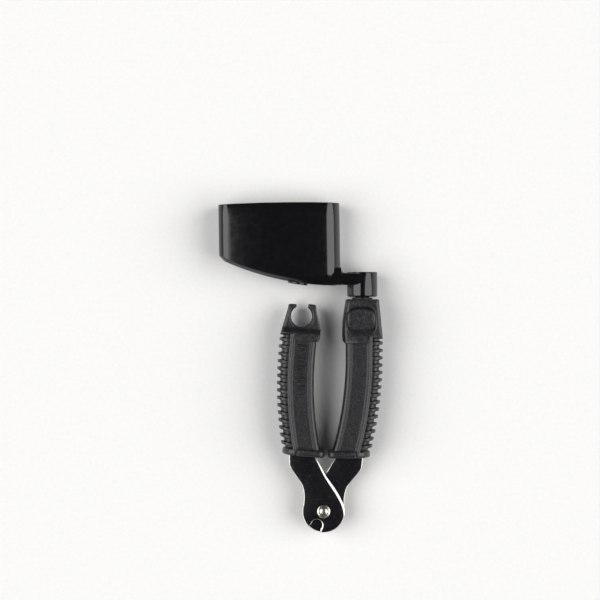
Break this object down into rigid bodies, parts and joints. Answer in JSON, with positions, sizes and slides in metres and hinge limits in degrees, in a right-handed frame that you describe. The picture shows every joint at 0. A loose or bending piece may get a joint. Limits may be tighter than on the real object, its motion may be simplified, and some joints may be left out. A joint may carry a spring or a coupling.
{
  "type": "string winder",
  "caption": "Bass string winder: a deep gloss cup on a crank, swivelling on one handle of ribbed pliers that cut strings and pull bridge pins.",
  "frame": {"origin": "under the middle of the tool's box, on the surface it lies on", "axes": "+Y along the tool, from the cutter pivot to the winder cup's mouth; +Z away from the surface, along the cutter's pivot axis; +X to the right, seen from above"},
  "size_m": [0.0846, 0.1695, 0.021],
  "materials": {
    "textured_nylon": "moulded black nylon with a fine spark-eroded texture",
    "gloss_plastic": "moulded black ABS, polished mould",
    "bush_plastic": "plain black moulded acetal",
    "blackened_steel": "black oxide faces, edges ground bright",
    "rivet_steel": "bright nickel-plated steel",
    "pin_steel": "turned steel"
  },
  "bodies": {
    "right_arm": {"right_handle": "textured_nylon", "rear_cutter_plate": "blackened_steel", "pivot_rivet": "rivet_steel", "rivet_washer": "rivet_steel", "swivel_bush": "bush_plastic", "swivel_pin": "pin_steel"},
    "left_arm": {"left_handle": "textured_nylon", "front_cutter_plate": "blackened_steel"},
    "crank": {"winder_head": "gloss_plastic", "hub_cap": "gloss_plastic"}
  },
  "joints": [
    {"name": "cutter_pivot", "type": "hinge", "parent": "right_arm", "child": "left_arm", "pos_m": [0.01182, -0.07346, 0.0105], "axis": [0, 0, 1], "range_deg": [-2.5, 50]},
    {"name": "crank_swivel", "type": "hinge", "parent": "right_arm", "child": "crank", "pos_m": [0.03167, 0.043, 0.0105], "axis": [0, 1, 0], "continuous": true}
  ]
}
